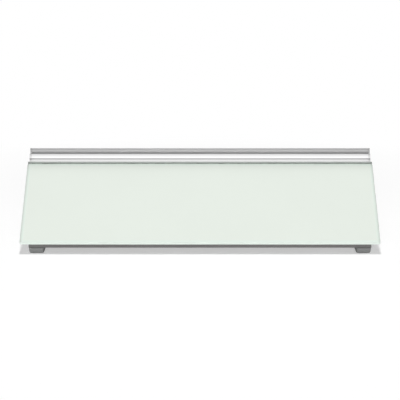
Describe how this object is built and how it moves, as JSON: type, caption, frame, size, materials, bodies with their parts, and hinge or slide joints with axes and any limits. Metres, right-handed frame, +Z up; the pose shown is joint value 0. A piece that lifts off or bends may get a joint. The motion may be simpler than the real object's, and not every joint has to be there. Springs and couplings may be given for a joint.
{
  "type": "desktop glass whiteboard",
  "caption": "Tilted glass writing panel on a wedge base, with a metal marker rail and phone slot along the top, grey feet and a pull-out drawer at each end.",
  "frame": {"origin": "on the desk, under the middle of the object's bounding box", "axes": "+X along the board, to the writer's right; +Y away from the writer; +Z up from the desk"},
  "size_m": [0.4572, 0.169, 0.1057],
  "materials": {
    "glass": "polished float glass, painted white behind, so it shows nothing through it",
    "backing": "white enamelled steel sheet",
    "tape": "foam mounting tape",
    "rail": "satin anodised extrusion",
    "rail_cap": "satin silver end piece",
    "liner": "matt black rubber strip",
    "housing": "fine textured grey moulded plastic",
    "tray": "dark grey moulded plastic",
    "runner": "natural low-friction plastic",
    "foot": "mid grey moulded plastic",
    "sole": "matt non-slip rubber",
    "screw": "zinc plated"
  },
  "bodies": {
    "board": {"glass_panel": "glass", "backing_sheet": "backing", "mounting_tape_lower": "tape", "mounting_tape_middle": "tape", "mounting_tape_upper": "tape", "top_rail": "rail", "rail_end_cap_left": "rail_cap", "rail_end_cap_right": "rail_cap", "phone_slot_liner": "liner", "rail_screw_1": "screw", "rail_screw_2": "screw", "rail_screw_3": "screw", "rail_screw_4": "screw", "housing": "housing", "bottom_cover": "housing", "cover_screw_1": "screw", "cover_screw_2": "screw", "cover_screw_3": "screw", "cover_screw_4": "screw", "cover_screw_5": "screw", "cover_screw_6": "screw", "foot_front_left": "foot", "foot_front_right": "foot", "foot_rear_left": "foot", "foot_rear_right": "foot", "foot_sole_front_left": "sole", "foot_sole_front_right": "sole", "foot_sole_rear_left": "sole", "foot_sole_rear_right": "sole", "foot_screw_front_left": "screw", "foot_screw_front_right": "screw", "foot_screw_rear_left": "screw", "foot_screw_rear_right": "screw", "left_runner_front": "runner", "left_runner_rear": "runner", "right_runner_front": "runner", "right_runner_rear": "runner"},
    "left_drawer": {"left_drawer_tray": "tray", "left_drawer_front": "housing", "left_drawer_screw_front": "screw", "left_drawer_screw_rear": "screw"},
    "right_drawer": {"right_drawer_tray": "tray", "right_drawer_front": "housing", "right_drawer_screw_front": "screw", "right_drawer_screw_rear": "screw"}
  },
  "joints": [
    {"name": "left_drawer_slide", "type": "slide", "parent": "board", "child": "left_drawer", "axis": [-1, 0, 0], "range_m": [0, 0.15]},
    {"name": "right_drawer_slide", "type": "slide", "parent": "board", "child": "right_drawer", "axis": [1, 0, 0], "range_m": [0, 0.15]}
  ]
}
